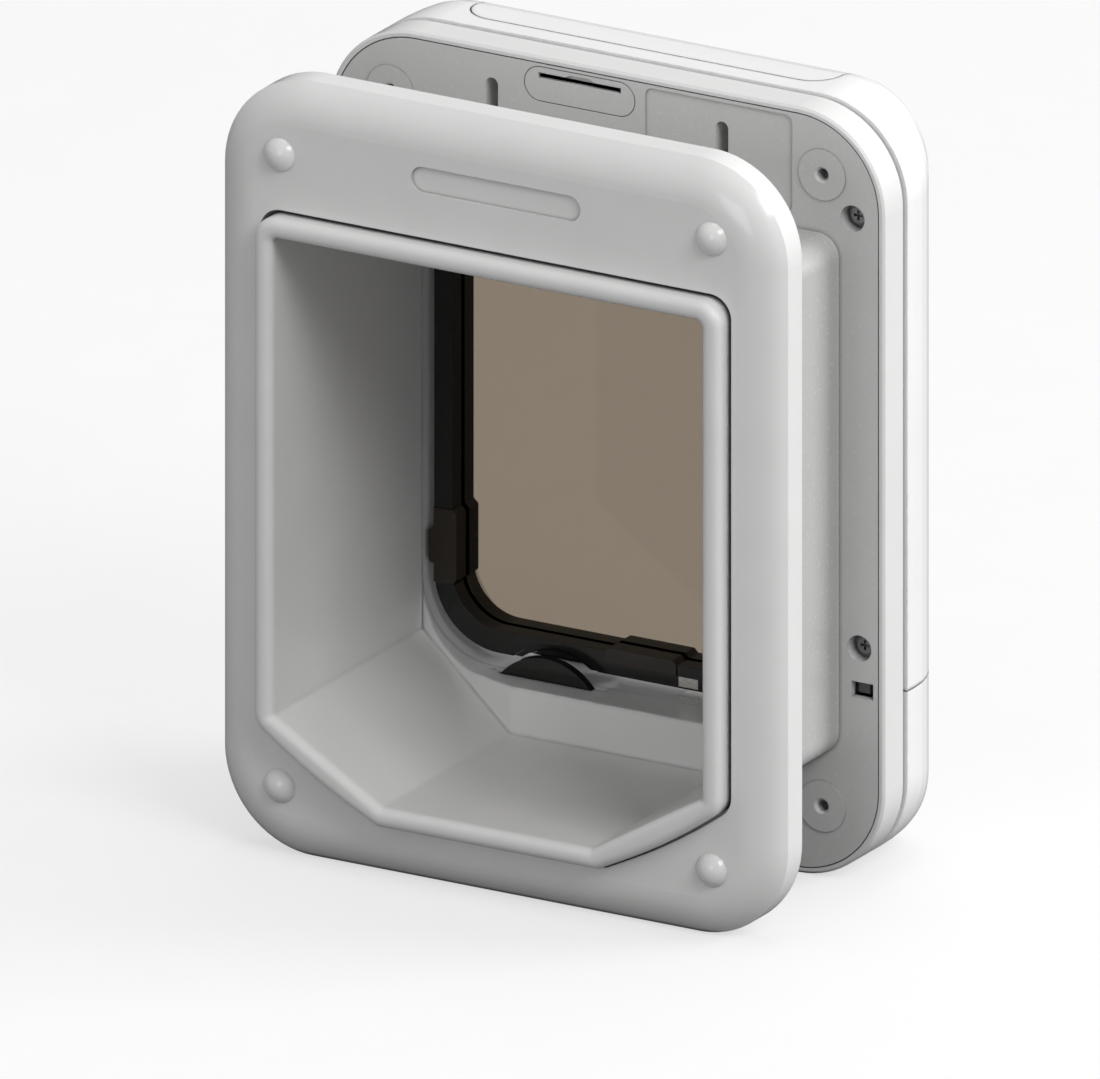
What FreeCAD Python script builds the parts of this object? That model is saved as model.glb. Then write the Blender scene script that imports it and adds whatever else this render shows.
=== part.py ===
import FreeCAD, Part
import Sketcher
import math
import os

# Cat flap for a door: a casing with a moulded tunnel and a two-way flap on the room side,
# and an outer frame that slides on the tunnel to suit the door's thickness.
# X runs to the right seen from outside, Y into the room, Z up. The origin is the centre of
# the four fixing holes, on the face of the casing that lies against the door.

SIZES = {
    # casing, seen from the door side
    "casing_half_width": 116.4,
    "casing_top": 145.7,
    "casing_drop": 149.0,
    "casing_corner": 36.25,
    "casing_wall": 2.2,
    "casing_edge": 0.9,
    "ring_depth": 14.5,
    "ring_ledge": 1.4,
    "ledge_thickness": 2.0,
    "reveal_gap": 2.2,
    "spigot_depth": 6.0,
    "fit_gap": 0.3,
    "cover_depth": 58.7,
    "cover_wall": 2.2,
    "side_rounding": 36.0,
    "end_rounding": 22.0,
    "foot_rounding": 12.0,
    "end_corner": 9.0,
    "seam": 0.6,
    "stadium_flat": 0.01,
    # door plate
    "plate_groove": 0.4,
    "plate_thickness": 3.0,
    "fixing_x": 90.5,
    "fixing_z": 121.5,
    "fixing_radius": 2.25,
    "fixing_disc_radius": 9.8,
    "fixing_disc_rise": 0.5,
    "fixing_funnel": 0.9,
    "well_radius": 4.3,
    "well_wall": 1.5,
    "slot_x": 48.0,
    "slot_width": 5.2,
    "slot_top": 134.0,
    "slot_length": 26.0,
    "slot_collar": 1.2,
    "access_x": -11.2,
    "access_z": 135.3,
    "access_length": 46.6,
    "access_height": 13.5,
    "access_seat": 1.6,
    "access_slot_length": 34.5,
    "access_slot_height": 2.0,
    "access_slot_z": 138.6,
    "label_left": 16.2,
    "label_right": 77.8,
    "label_top": 141.8,
    "label_bottom": 104.5,
    "label_recess": 0.8,
    "label_corner": 3.0,
    "upper_screw_x": 103.2,
    "upper_screw_z": 106.8,
    "lower_screw_x": 106.0,
    "lower_screw_z": -58.2,
    "cup_radius": 5.0,
    "cup_depth": 6.4,
    "cup_wall": 1.2,
    "screw_head_radius": 3.2,
    "screw_head_height": 2.2,
    "screw_radius": 1.5,
    "screw_length": 15.0,
    "cross_width": 0.9,
    "cross_length": 3.8,
    "cross_depth": 1.2,
    "post_radius": 3.6,
    "window_x": 107.2,
    "window_z": -74.2,
    "window_width": 9.2,
    "window_height": 6.2,
    # tunnel
    "tunnel_half_width": 90.0,
    "tunnel_ceiling": 91.5,
    "tunnel_floor": 119.8,
    "fold_drop": 92.1,
    "fold_half_width": 43.9,
    "liner_wall": 2.2,
    "rim_width": 7.6,
    "rim_front": 88.1,
    "rim_depth": 7.6,
    "rim_top_corner": 8.7,
    "rim_fold_corner": 9.0,
    "rim_low_corner": 2.0,
    "rim_round": 3.4,
    "inner_corner": 2.5,
    "fold_bow": 2.6,
    "fold_bow_radius": 240.0,
    "sleeve_wall": 2.2,
    "riser_y": 6.4,
    "riser_wall": 2.4,
    "wing_depth": 15.6,
    "wing_tip": 0.2,
    "hollow_half_width": 65.0,
    "sill_drop": 101.5,
    "sill_corner": 30.0,
    "liner_end": 22.7,
    # outer frame
    "frame_half_width": 118.0,
    "frame_half_height": 149.0,
    "frame_corner": 37.0,
    "frame_front": 80.1,
    "frame_depth": 18.1,
    "frame_wall": 2.6,
    "pillow_depth": 8.0,
    "pillow_radius": 20.0,
    "frame_gap": 1.1,
    "collar_depth": 15.0,
    "guide_rib_width": 2.4,
    "guide_rib_x": 60.0,
    "guide_rib_z": 55.0,
    "dome_radius": 6.5,
    "dome_rise": 4.0,
    "dome_crown": 4.5,
    "dome_round": 7.2,
    "boss_radius": 4.8,
    "pilot_radius": 1.9,
    "pilot_depth": 13.0,
    "badge_length": 71.0,
    "badge_height": 9.8,
    "badge_z": 122.5,
    "badge_depth": 1.3,
    # flap
    "flap_half_width": 86.6,
    "flap_bottom": 97.2,
    "flap_corner": 27.2,
    "flap_front": 25.0,
    "flap_thickness": 15.6,
    "border_width": 7.5,
    "rail_height": 8.7,
    "hinge_z": 78.0,
    "barrel_flat": 0.05,
    "barrel_drop": 12.0,
    "trunnion_radius": 2.5,
    "running_gap": 0.06,
    "trunnion_length": 5.4,
    "pivot_boss_radius": 6.0,
    "pivot_boss_length": 6.0,
    "panel_thickness": 2.4,
    "panel_rebate": 3.0,
    "clip_top": -45.7,
    "clip_bottom": -74.4,
    "clip_depth": 6.4,
    "clip_inset": 2.0,
    "clip_proud": 0.5,
    "clip_chamfer": 1.8,
    "tab_top": -53.6,
    "tab_bottom": -67.5,
    "tab_width": 2.0,
    "foot_half_width": 15.0,
    "foot_rise": 1.6,
    "magnet_x": 19.8,
    "magnet_width": 8.2,
    "magnet_height": 3.8,
    "magnet_lift": 0.6,
    # flap surround on the room side
    "surround_wall": 2.4,
    "surround_step": 0.3,
    "bezel_width": 5.6,
    "bezel_depth": 8.0,
    "bezel_rise": 1.2,
    "bezel_round": 1.0,
    "keeper_x": 20.0,
    "keeper_width": 12.0,
    "keeper_length": 10.0,
    "keeper_thickness": 1.2,
    "keeper_rise": 0.4,
    "latch_setback": 2.1,
    # lock
    "lock_x": -35.6,
    "lock_drop": 116.8,
    "disc_radius": 24.0,
    "disc_thickness": 3.6,
    "disc_front": 17.0,
    "rear_disc_gap": 1.8,
    "slot_skin": 0.9,
    "lug_radius": 27.2,
    "lug_thickness": 1.4,
    "lug_angle": 40.0,
    "arch_clearance": 2.4,
    "disc_side_gap": 0.4,
    "shaft_radius": 5.0,
    "shaft_square": 7.0,
    "square_gap": 0.05,
    "bearing_wall": 2.0,
    "bearing_length": 6.0,
    "knob_radius": 9.4,
    "knob_depth": 9.0,
    "knob_base": 3.0,
    "knob_grip": 7.0,
    "knob_rim": 0.5,
    "knob_round": 0.8,
    # latch
    "bolt_x": 38.0,
    "bolt_width": 8.0,
    "bolt_depth": 5.0,
    "bolt_gap": 0.3,
    "bolt_travel": 9.0,
    "collar_drop": 122.0,
    "bolt_collar_radius": 6.4,
    "bolt_collar": 1.6,
    "rod_radius": 2.4,
    "rod_engagement": 4.0,
    "solenoid_width": 16.0,
    "solenoid_length": 13.0,
    # electronics
    "board_half_width": 72.0,
    "board_bottom": 104.0,
    "board_top": 132.0,
    "board_y": 12.0,
    "board_thickness": 1.6,
    "sounder_x": 30.0,
    "sounder_z": 118.0,
    "sounder_radius": 6.0,
    "sounder_height": 3.6,
    "coil_gap": 0.3,
    "coil_width": 2.4,
    "coil_depth": 2.8,
    "cell_radius": 7.25,
    "cell_length": 50.5,
    "cell_pitch": 15.5,
    "cell_y": 39.4,
    "cell_z": 119.0,
    "tray_wall": 1.0,
    "tray_play": 0.3,
    "contact_thickness": 0.5,
    "lid_half_width": 77.0,
    "lid_front": 25.4,
    "lid_corner": 12.0,
    "lid_bottom": 104.5,
    "lower_seam": 77.7,
    "button_x": 62.0,
    "button_drop": 122.0,
    "button_radius": 5.0,
    "button_flange": 1.4,
    "button_rim": 1.2,
    "button_stand": 1.6,
    "button_travel": 1.2,
    "lens_drop": 110.0,
    "lens_radius": 2.2,
    "switch_board_y": 46.4,
}

doc = FreeCAD.newDocument("cat_flap")
sheet = doc.addObject("Spreadsheet::Sheet", "Sizes")
for row, (name, value) in enumerate(SIZES.items(), start=1):
    sheet.set(f"A{row}", name)
    sheet.set(f"B{row}", str(value))
    sheet.setAlias(f"B{row}", name)
doc.recompute()


class Size(float):
    """A length from the sheet that keeps its formula, so that features can be bound to it."""

    def __new__(cls, value, formula):
        size = super().__new__(cls, value)
        size.formula = formula
        return size

    def __add__(self, other):
        return Size(float(self) + float(other), f"({self.formula} + {formula_of(other)})")

    def __radd__(self, other):
        return Size(float(other) + float(self), f"({formula_of(other)} + {self.formula})")

    def __sub__(self, other):
        return Size(float(self) - float(other), f"({self.formula} - {formula_of(other)})")

    def __rsub__(self, other):
        return Size(float(other) - float(self), f"({formula_of(other)} - {self.formula})")

    def __mul__(self, other):
        return Size(float(self) * float(other), f"({self.formula} * {formula_of(other)})")

    def __rmul__(self, other):
        return self * other

    def __truediv__(self, other):
        return Size(float(self) / float(other), f"({self.formula} / {formula_of(other)})")

    def __neg__(self):
        return Size(-float(self), f"(0 - {self.formula})")


def formula_of(value):
    return value.formula if isinstance(value, Size) else repr(float(value))


def root(value):
    return Size(math.sqrt(float(value)), f"sqrt({formula_of(value)})")


class Sheet:
    """Reads the sheet's cells by their alias."""

    def __getattr__(self, name):
        return Size(float(sheet.get(name)), f"Sizes.{name}")


s = Sheet()


def bind(item, prop, value):
    # a size from the sheet is set as an expression, a plain number as a value
    if isinstance(value, Size):
        item.setExpression(prop, value.formula)
    elif "." in prop:
        item.setExpression(prop, repr(float(value)))
    else:
        setattr(item, prop, float(value))


def place(item, x=0, y=0, z=0):
    at = FreeCAD.Vector(float(x), float(y), float(z))
    item.Placement = FreeCAD.Placement(at, item.Placement.Rotation)
    for axis, value in zip("xyz", (x, y, z)):
        if isinstance(value, Size):
            item.setExpression(f"Placement.Base.{axis}", value.formula)


def new_body(label):
    body = doc.addObject("PartDesign::Body", label)
    body.Label = label
    return body


def origin_feature(body, role):
    return next(f for f in body.Origin.OriginFeatures if f.Role == role)


def new_sketch(body, name, plane="XZ_Plane", at=0):
    # at is the sketch's place along Y on the XZ plane, along Z on XY and along X on YZ
    sketch = body.newObject("Sketcher::SketchObject", name)
    sketch.AttachmentSupport = [(origin_feature(body, plane), "")]
    sketch.MapMode = "FlatFace"
    offset = -at if plane == "XZ_Plane" else at
    if offset != 0:
        bind(sketch, "AttachmentOffset.Base.z", offset)
    return sketch


def fix_point(sketch, geometry, vertex, x, y):
    for kind, value, axis in (("DistanceX", x, -2), ("DistanceY", y, -1)):
        if not isinstance(value, Size) and value == 0:
            sketch.addConstraint(Sketcher.Constraint("PointOnObject", geometry, vertex, axis))
            continue
        index = sketch.addConstraint(
            Sketcher.Constraint(kind, -1, 1, geometry, vertex, float(value)))
        if isinstance(value, Size):
            sketch.setExpression(f"Constraints[{index}]", value.formula)


def corner_arc(before, corner, after, radius):
    # tangent points and centre of a rounded corner
    u = (before - corner).normalize()
    v = (after - corner).normalize()
    half = u.getAngle(v) / 2
    reach = radius / math.tan(half)
    centre = corner + (u + v).normalize() * (radius / math.sin(half))
    return corner + u * reach, corner + v * reach, centre


def outline(sketch, corners):
    # a closed outline through (x, y, radius) corners, each fixed by its sharp corner
    points = [FreeCAD.Vector(float(x), float(y), 0) for x, y, r in corners]
    count = len(points)
    joints = []
    for i, (x, y, radius) in enumerate(corners):
        if float(radius) > 0:
            joints.append(corner_arc(points[i - 1], points[i], points[(i + 1) % count], float(radius)))
        else:
            joints.append((points[i], points[i], None))
    lines = [sketch.addGeometry(Part.LineSegment(joints[i][1], joints[(i + 1) % count][0]), False)
             for i in range(count)]
    for i, (x, y, radius) in enumerate(corners):
        before, after = lines[i - 1], lines[i]
        start, end, centre = joints[i]
        if centre is None:
            sketch.addConstraint(Sketcher.Constraint("Coincident", before, 2, after, 1))
            fix_point(sketch, after, 1, x, y)
            continue
        turn = (points[i] - points[i - 1]).cross(points[(i + 1) % count] - points[i]).z
        first, last = (start, end) if turn > 0 else (end, start)
        angles = [math.atan2(p.y - centre.y, p.x - centre.x) for p in (first, last)]
        circle = Part.Circle(centre, FreeCAD.Vector(0, 0, 1), float(radius))
        arc = sketch.addGeometry(Part.ArcOfCircle(circle, angles[0], angles[1]), False)
        start_vertex, end_vertex = (1, 2) if turn > 0 else (2, 1)
        sketch.addConstraint(Sketcher.Constraint("Tangent", before, 2, arc, start_vertex))
        sketch.addConstraint(Sketcher.Constraint("Tangent", arc, end_vertex, after, 1))
        index = sketch.addConstraint(Sketcher.Constraint("Radius", arc, float(radius)))
        if isinstance(radius, Size):
            sketch.setExpression(f"Constraints[{index}]", radius.formula)
        sharp = sketch.addGeometry(Part.Point(points[i]), True)
        fix_point(sketch, sharp, 1, x, y)
        sketch.addConstraint(Sketcher.Constraint("PointOnObject", sharp, 1, before))
        sketch.addConstraint(Sketcher.Constraint("PointOnObject", sharp, 1, after))


def circle(sketch, x, y, radius):
    ring = Part.Circle(FreeCAD.Vector(float(x), float(y), 0), FreeCAD.Vector(0, 0, 1), float(radius))
    geometry = sketch.addGeometry(ring, False)
    fix_point(sketch, geometry, 3, x, y)
    index = sketch.addConstraint(Sketcher.Constraint("Radius", geometry, float(radius)))
    if isinstance(radius, Size):
        sketch.setExpression(f"Constraints[{index}]", radius.formula)


def box_corners(x1, x2, y1, y2, radius=0):
    return [(x1, y1, radius), (x2, y1, radius), (x2, y2, radius), (x1, y2, radius)]


def stadium(x, y, length, height):
    # the short side keeps a sliver of straight line, so that its two arcs stay apart
    short = length if float(length) < float(height) else height
    return box_corners(x - length / 2, x + length / 2, y - height / 2, y + height / 2,
                       short / 2 - s.stadium_flat)


def volume(body):
    doc.recompute()
    return body.Shape.Volume


def pad(body, sketch, length, along=True):
    # along: an XZ sketch grows along +Y, others along their normal
    before = body.Shape.Volume if body.Shape and not body.Shape.isNull() else 0
    feature = body.newObject("PartDesign::Pad", sketch.Name + "_pad")
    feature.Profile = sketch
    bind(feature, "Length", length)
    feature.Reversed = along == (sketch.AttachmentSupport[0][0].Role == "XZ_Plane")
    if volume(body) <= before:
        raise RuntimeError(f"{sketch.Name} adds nothing to {body.Label}")
    return feature


def pocket(body, sketch, length, along=True, middle=False):
    # along: an XZ sketch cuts towards +Y, others along their normal
    before = body.Shape.Volume
    feature = body.newObject("PartDesign::Pocket", sketch.Name + "_cut")
    feature.Profile = sketch
    bind(feature, "Length", length)
    feature.Midplane = middle
    feature.Reversed = along != (sketch.AttachmentSupport[0][0].Role == "XZ_Plane")
    if volume(body) >= before - 1e-6:
        raise RuntimeError(f"{sketch.Name} cuts nothing from {body.Label}")
    return feature


def fillet(body, name, radius, chosen):
    return dress(body, name, radius, chosen, "PartDesign::Fillet", "Radius")


def chamfer(body, name, size, chosen):
    return dress(body, name, size, chosen, "PartDesign::Chamfer", "Size")


def dress(body, name, size, chosen, kind, prop):
    # chosen(edge) picks the edges of the body's last feature
    doc.recompute()
    base = body.Tip
    names = [f"Edge{i}" for i, edge in enumerate(base.Shape.Edges, start=1) if chosen(edge)]
    if not names:
        raise RuntimeError(f"{name} finds no edge on {body.Label}")
    feature = body.newObject(kind, name)
    feature.Base = (base, names)
    bind(feature, prop, size)
    doc.recompute()
    return feature


def edges_at_y(y, tolerance=0.02):
    return lambda edge: all(abs(v.Y - float(y)) < tolerance for v in edge.Vertexes)


def revolve(body, name, corners, x, z):
    # (y, r) profile turned about an axis along Y through x, z
    sketch = new_sketch(body, name, "YZ_Plane", x)
    outline(sketch, [(y, z + r, radius) for y, r, radius in corners])
    axis = sketch.addGeometry(Part.LineSegment(FreeCAD.Vector(0, float(z), 0),
                                               FreeCAD.Vector(10, float(z), 0)), True)
    sketch.addConstraint(Sketcher.Constraint("Horizontal", axis))
    fix_point(sketch, axis, 1, 0, z)
    sketch.addConstraint(Sketcher.Constraint("DistanceX", axis, 1, axis, 2, 10))
    feature = body.newObject("PartDesign::Revolution", name + "_turned")
    feature.Profile = sketch
    feature.ReferenceAxis = (sketch, ["Axis0"])
    feature.Angle = 360
    doc.recompute()
    return feature


def loft(body, name, sections, cut=False):
    # straight strips through sections, which are (y, corners) pairs in order
    sketches = []
    for i, (y, corners) in enumerate(sections):
        sketch = new_sketch(body, f"{name}_{i}", "XZ_Plane", y)
        outline(sketch, corners)
        sketches.append(sketch)
    kind = "PartDesign::SubtractiveLoft" if cut else "PartDesign::AdditiveLoft"
    feature = body.newObject(kind, name)
    feature.Profile = sketches[0]
    feature.Sections = [(sketch, [""]) for sketch in sketches[1:]]
    feature.Ruled = True
    doc.recompute()
    return feature


def primitive(kind, name, sizes, x=0, y=0, z=0):
    item = doc.addObject(kind, name)
    for prop, value in sizes.items():
        bind(item, prop, value)
    place(item, x, y, z)
    return item


def block(name, x1, x2, y1, y2, z1, z2):
    return primitive("Part::Box", name, {"Length": x2 - x1, "Width": y2 - y1, "Height": z2 - z1},
                     x1, y1, z1)


def rod(name, x, y, z, radius, length, direction="Y"):
    item = primitive("Part::Cylinder", name, {"Radius": radius, "Height": length})
    turn = {"X": (FreeCAD.Vector(0, 1, 0), 90), "Y": (FreeCAD.Vector(1, 0, 0), -90),
            "Z": (FreeCAD.Vector(0, 0, 1), 0)}[direction]
    item.Placement = FreeCAD.Placement(FreeCAD.Vector(), FreeCAD.Rotation(*turn))
    place(item, x, y, z)
    return item


def fuse(label, items):
    item = doc.addObject("Part::MultiFuse", label)
    item.Shapes = items
    item.Label = label
    return item


def cut(label, base, tool):
    item = doc.addObject("Part::Cut", label)
    item.Base = base
    item.Tool = tool
    item.Label = label
    return item


def common(label, items):
    item = doc.addObject("Part::MultiCommon", label)
    item.Shapes = items
    item.Label = label
    return item


nodes = []


def keep(item):
    # a finished piece, written to its own file under its label
    nodes.append(item)
    return item


# Tunnel section: a rectangle whose lower corners are cut by slanting walls.
fold_rise = s.tunnel_floor - s.fold_drop
fold_run = s.tunnel_half_width - s.fold_half_width
fold_length = root(fold_rise * fold_rise + fold_run * fold_run)


def tunnel_outline(offset, top_corner=0, fold_corner=0, low_corner=0, bowed=False):
    side = s.tunnel_half_width + offset
    top = s.tunnel_ceiling + offset
    fold_z = -s.fold_drop - offset * (fold_length - fold_rise) / fold_run
    low_x = s.fold_half_width + offset * (fold_length - fold_run) / fold_rise
    low_z = -s.tunnel_floor - offset
    middle = []
    if bowed:
        bow_x = (side + low_x) / 2 + s.fold_bow * fold_rise / fold_length
        bow_z = (fold_z + low_z) / 2 - s.fold_bow * fold_run / fold_length
        middle = [(bow_x, bow_z, s.fold_bow_radius)]
    right = [(low_x, low_z, low_corner)] + middle + [(side, fold_z, fold_corner), (side, top, top_corner)]
    left = [(-x, z, r) for x, z, r in reversed(right)]
    return right + left


def outer_tunnel(offset):
    return tunnel_outline(offset, s.rim_top_corner, s.rim_fold_corner, s.rim_low_corner, bowed=True)


def opening_outline(inset, corner):
    side = s.tunnel_half_width + inset
    top = s.tunnel_ceiling + inset
    return [(-side, -s.sill_drop - inset, corner), (side, -s.sill_drop - inset, corner),
            (side, top, s.inner_corner), (-side, top, s.inner_corner)]


def casing_outline(inset, corner):
    side = s.casing_half_width - inset
    return box_corners(-side, side, -s.casing_drop + inset, s.casing_top - inset, corner)


def four_fixings():
    return [(sx * s.fixing_x, sz * s.fixing_z) for sx in (-1, 1) for sz in (-1, 1)]


def casing_screw_places():
    return [(side * x, z) for side in (-1, 1)
            for x, z in ((s.upper_screw_x, s.upper_screw_z), (s.lower_screw_x, s.lower_screw_z))]


rim_back = s.rim_front - s.rim_depth


def make_door_plate():
    body = new_body("door_plate")
    plate = new_sketch(body, "plate")
    edge = s.casing_wall + s.plate_groove
    outline(plate, casing_outline(edge, s.casing_corner - edge))
    pad(body, plate, s.plate_thickness)
    sleeve = new_sketch(body, "sleeve", at=-rim_back + s.fit_gap)
    outline(sleeve, outer_tunnel(s.rim_width))
    pad(body, sleeve, rim_back - s.fit_gap + s.plate_thickness)
    discs = new_sketch(body, "fixing_discs", at=-s.fixing_disc_rise)
    for x, z in four_fixings():
        circle(discs, x, z, s.fixing_disc_radius)
    pad(body, discs, s.fixing_disc_rise + s.plate_thickness)
    cups = new_sketch(body, "screw_cups")
    for x, z in casing_screw_places():
        circle(cups, x, z, s.cup_radius + s.cup_wall)
    pad(body, cups, s.cup_depth + s.cup_wall)
    posts = new_sketch(body, "board_posts")
    for side in (-1, 1):
        for z in (s.board_bottom + s.post_radius, s.board_top - s.post_radius):
            circle(posts, side * (s.board_half_width - s.post_radius), z, s.post_radius)
    pad(body, posts, s.board_y)
    collars = new_sketch(body, "slot_collars")
    slots = new_sketch(body, "slots")
    for side in (-1, 1):
        middle = s.slot_top - s.slot_length / 2
        outline(collars, stadium(side * s.slot_x, middle, s.slot_width + 2 * s.slot_collar,
                                 s.slot_length + 2 * s.slot_collar))
        outline(slots, stadium(side * s.slot_x, middle, s.slot_width, s.slot_length))
    pad(body, collars, s.board_y - s.fit_gap)
    pocket(body, slots, s.board_y)
    bore = new_sketch(body, "sleeve_bore", at=-s.rim_front)
    outline(bore, outer_tunnel(s.rim_width - s.sleeve_wall))
    pocket(body, bore, s.rim_front + s.ring_depth)
    recesses = new_sketch(body, "screw_recesses")
    for x, z in casing_screw_places():
        circle(recesses, x, z, s.cup_radius)
    pocket(body, recesses, s.cup_depth)
    holes = new_sketch(body, "holes", at=-s.fixing_disc_rise)
    for x, z in four_fixings():
        circle(holes, x, z, s.fixing_radius)
    for x, z in casing_screw_places():
        circle(holes, x, z, s.screw_radius + s.running_gap)
    pocket(body, holes, s.ring_depth)
    chamfer(body, "fixing_funnels", s.fixing_funnel,
            lambda e: edges_at_y(-s.fixing_disc_rise)(e) and e.Length < math.pi * s.fixing_disc_radius)
    windows = new_sketch(body, "windows")
    for side in (-1, 1):
        x = side * s.window_x
        outline(windows, box_corners(x - s.window_width / 2, x + s.window_width / 2,
                                     s.window_z - s.window_height / 2, s.window_z + s.window_height / 2))
    outline(windows, stadium(s.access_x, s.access_z, s.access_length - 4 * s.access_seat,
                             s.access_height - 4 * s.access_seat))
    pocket(body, windows, s.plate_thickness)
    seat = new_sketch(body, "access_seat")
    outline(seat, stadium(s.access_x, s.access_z, s.access_length, s.access_height))
    pocket(body, seat, s.access_seat)
    label = new_sketch(body, "label_recess")
    outline(label, box_corners(s.label_left, s.label_right, s.label_bottom, s.label_top, s.label_corner))
    pocket(body, label, s.label_recess)
    return keep(body)


def make_access_cover():
    body = new_body("access_cover")
    cover = new_sketch(body, "access_face")
    outline(cover, stadium(s.access_x, s.access_z, s.access_length - 2 * s.fit_gap,
                           s.access_height - 2 * s.fit_gap))
    pad(body, cover, s.access_seat)
    notch = new_sketch(body, "access_notch")
    half = s.access_slot_length / 2
    low = s.access_slot_z - s.access_slot_height / 2
    high = s.access_slot_z + s.access_slot_height / 2
    step = s.access_slot_height
    outline(notch, [
        (s.access_x - half, low, 0), (s.access_x + half, low, 0), (s.access_x + half, high, 0),
        (s.access_x + 3 * step, high, 0), (s.access_x + 2 * step, high + step / 2, 0),
        (s.access_x - 2 * step, high + step / 2, 0), (s.access_x - 3 * step, high, 0),
        (s.access_x - half, high, 0)])
    pocket(body, notch, s.access_seat)
    return keep(body)


def make_casing_ring():
    body = new_body("casing_ring")
    ring = new_sketch(body, "ring")
    outline(ring, casing_outline(0, s.casing_corner))
    pad(body, ring, s.ring_depth)
    ledge = s.casing_wall + s.ring_ledge
    chamfer(body, "ring_edges", s.casing_edge, lambda e: edges_at_y(0)(e) or edges_at_y(s.ring_depth)(e))
    through = new_sketch(body, "ring_through")
    outline(through, casing_outline(ledge, s.casing_corner - ledge))
    pocket(body, through, s.ring_depth)
    front = new_sketch(body, "ring_front")
    outline(front, casing_outline(s.casing_wall, s.casing_corner - s.casing_wall))
    pocket(body, front, s.plate_thickness)
    back = new_sketch(body, "ring_back", at=s.plate_thickness + s.ledge_thickness)
    outline(back, casing_outline(s.casing_wall, s.casing_corner - s.casing_wall))
    pocket(body, back, s.ring_depth)
    return keep(body)


def make_tunnel_liner():
    body = new_body("tunnel_liner")
    rim = new_sketch(body, "rim", at=-s.rim_front)
    outline(rim, outer_tunnel(s.rim_width))
    pad(body, rim, s.rim_depth)
    tube = new_sketch(body, "tube", at=-s.rim_front)
    outline(tube, tunnel_outline(s.liner_wall))
    pad(body, tube, s.rim_front + s.liner_end)
    bearing = new_sketch(body, "front_bearing", at=s.riser_y)
    circle(bearing, s.lock_x, -s.lock_drop, s.shaft_radius + s.bearing_wall)
    pad(body, bearing, s.riser_wall + s.bearing_length)
    bore = new_sketch(body, "bore", at=-s.rim_front)
    outline(bore, tunnel_outline(0, s.inner_corner))
    pocket(body, bore, s.rim_front + s.riser_y)
    opening = new_sketch(body, "opening", at=s.riser_y)
    outline(opening, opening_outline(0, s.sill_corner))
    pocket(body, opening, s.liner_end - s.riser_y)
    for side in (-1, 1):
        loft(body, f"riser_wing_{side + 1}", wing_sections(side), cut=True)
    under = new_sketch(body, "under_sill", at=s.riser_y + s.riser_wall + s.bearing_length)
    low = -s.tunnel_floor - s.rim_width
    outline(under, box_corners(-s.hollow_half_width, s.hollow_half_width, low, -s.sill_drop - s.liner_wall))
    pocket(body, under, s.liner_end)
    hollow = new_sketch(body, "behind_riser", at=s.riser_y + s.riser_wall)
    outline(hollow, box_corners(-s.fold_half_width, s.fold_half_width, low, -s.sill_drop - s.liner_wall))
    circle(hollow, s.lock_x, -s.lock_drop, s.shaft_radius + s.bearing_wall)
    pocket(body, hollow, s.bearing_length)
    socket = new_sketch(body, "shaft_socket", at=s.riser_y + s.riser_wall)
    circle(socket, s.lock_x, -s.lock_drop, s.shaft_radius + s.running_gap)
    pocket(body, socket, s.bearing_length)
    cut_disc_slot(body, s.disc_front, front_lug, -s.sill_drop, s.liner_wall)
    fillet(body, "rim_roll", s.rim_round, edges_at_y(-s.rim_front))
    return keep(body)


def wing_sections(side):
    # the riser runs back at both ends, above the slanting walls, to nothing at the side wall
    def section(inner, inner_z):
        top = -s.sill_drop + s.sill_corner
        corners = [(inner, inner_z), (s.tunnel_half_width, -s.fold_drop),
                   (s.tunnel_half_width, top), (inner, top)]
        return [(side * x, z, 0) for x, z in corners]
    tip = s.tunnel_half_width - s.wing_tip
    tip_z = -s.fold_drop - s.wing_tip * fold_rise / fold_run
    return [(s.riser_y, section(s.fold_half_width, -s.tunnel_floor)),
            (s.riser_y + s.wing_depth, section(tip, tip_z))]


def cut_disc_slot(body, front, lug_front, sill, wall):
    # the slot is longer below, under a thin skin, and longer for the lugs than for the disc
    runs = ((s.disc_radius, front, s.disc_thickness), (s.lug_radius, lug_front, s.lug_thickness))
    for kind, (radius, start, thickness) in enumerate(runs):
        for name, depth, length in (("skin", s.slot_skin, s.sill_corner), ("below", wall, wall - s.slot_skin)):
            slot = new_sketch(body, f"disc_slot_{name}_{kind}", "XY_Plane", at=sill - wall)
            outline(slot, disc_slot(radius, start, thickness, -sill + depth))
            pocket(body, slot, length, along=True)


def disc_slot(radius, front, thickness, drop):
    # plan of the slot in the sill that a lock disc or its lugs turn through
    reach = radius + s.disc_side_gap
    height = s.lock_drop - drop
    half = root(reach * reach - height * height)
    return box_corners(s.lock_x - half, s.lock_x + half, front - s.disc_side_gap,
                       front + thickness + s.disc_side_gap)


def frame_outline(inset):
    side = s.frame_half_width - inset
    high = s.frame_half_height - inset
    return box_corners(-side, side, -high, high, s.frame_corner - inset)


def pillow_run(depth):
    # how far in from the rolled block's side the edge's arc has run at this depth
    drop = s.pillow_radius - depth
    return root(s.pillow_radius * s.pillow_radius - drop * drop)


def hollow_sections(front):
    sections = []
    for share in (1.0, 0.35, 0.0):
        depth = s.pillow_depth * share
        inset = pillow_run(s.pillow_depth) - pillow_run(depth) + s.frame_wall
        sections.append((front + depth, frame_outline(inset)))
    return sections


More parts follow.
